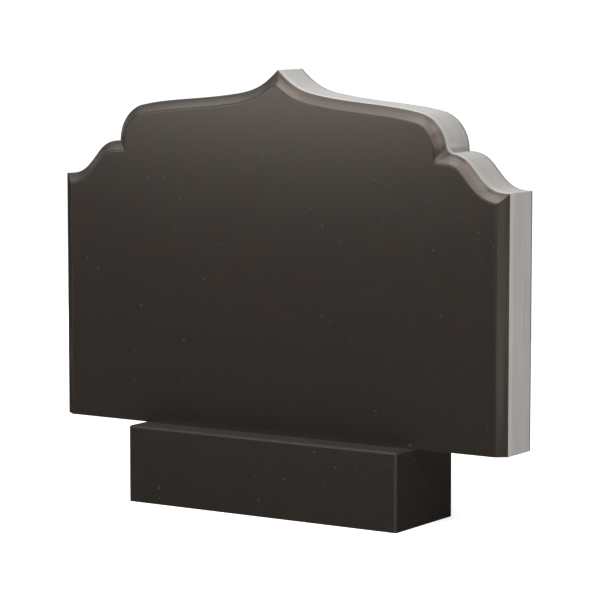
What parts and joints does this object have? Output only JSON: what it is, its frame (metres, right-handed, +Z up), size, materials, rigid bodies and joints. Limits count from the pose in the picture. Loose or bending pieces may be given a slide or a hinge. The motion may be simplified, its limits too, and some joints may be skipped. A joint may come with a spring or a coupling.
{
  "type": "headstone",
  "caption": "Upright polished dark stone headstone: a wide shaped stele with an ogee peak, round shoulders and a chamfered face, standing on a plain plinth block.",
  "frame": {"origin": "middle of the plinth's underside, which is the bottom centre of the whole part", "axes": "+Z up, +X along the slab to the right of someone who faces it, and the face looks along -Y"},
  "size_m": [1, 0.206, 0.8433],
  "materials": {
    "stele_stone": "polished near-black stone on the face, chamfer and back, with the edges and crown ground to a matt pale grey",
    "plinth_stone": "polished near-black stone with softened arrises"
  },
  "bodies": {
    "root": {"stele": "stele_stone", "plinth": "plinth_stone"}
  },
  "joints": []
}
